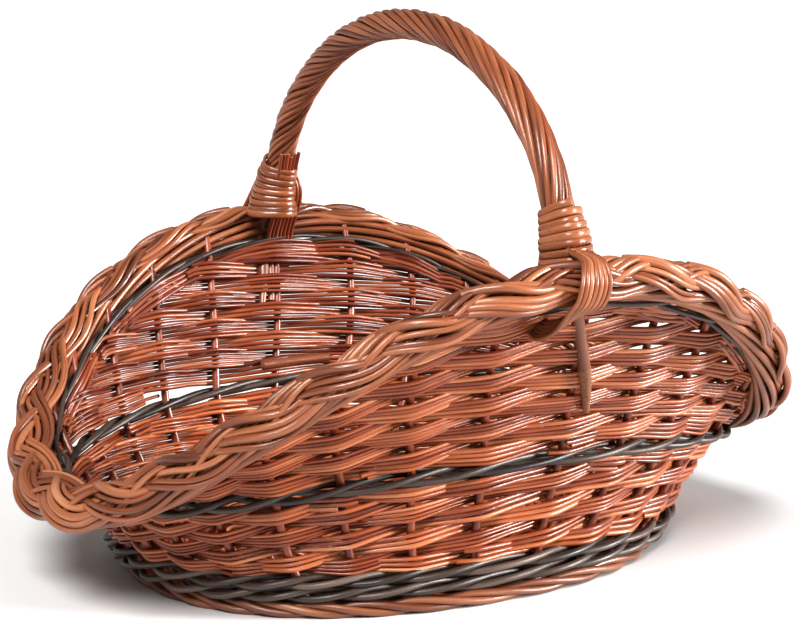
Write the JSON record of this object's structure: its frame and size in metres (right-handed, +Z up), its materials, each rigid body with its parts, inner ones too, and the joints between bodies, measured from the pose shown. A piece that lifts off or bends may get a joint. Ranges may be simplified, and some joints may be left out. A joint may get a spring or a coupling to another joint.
{
  "type": "woven market basket",
  "caption": "Boat-shaped oval willow basket with high flared sides, low open ends, dark bands, a thick plaited border and a fixed roped cross handle.",
  "frame": {"origin": "on the surface the basket stands on, under the middle of the rim", "axes": "+X along the basket's length, +Y across it in the handle's plane, +Z up"},
  "size_m": [0.5513, 0.447, 0.367],
  "materials": {
    "light_willow": "satin",
    "pale_willow": "satin",
    "deep_willow": "satin",
    "dark_willow": "satin"
  },
  "bodies": {
    "root": {"base_cross_sticks": "deep_willow", "base_long_sticks": "deep_willow", "base_weave": "light_willow", "foot_border": "light_willow", "foot_wale": "dark_willow", "front_stakes": "deep_willow", "back_stakes": "deep_willow", "left_end_stakes": "deep_willow", "right_end_stakes": "deep_willow", "lower_siding": "light_willow", "waist_wale": "dark_willow", "front_siding": "light_willow", "back_siding": "light_willow", "front_top_wale": "dark_willow", "back_top_wale": "dark_willow", "border_strand_1": "light_willow", "border_strand_2": "light_willow", "border_strand_3": "light_willow", "border_cut_ends": "pale_willow", "handle_bow": "deep_willow", "handle_rope_outer": "light_willow", "handle_rope_inner": "pale_willow", "front_binding": "pale_willow", "back_binding": "pale_willow", "front_rod_loops": "deep_willow", "back_rod_loops": "deep_willow"}
  },
  "joints": []
}
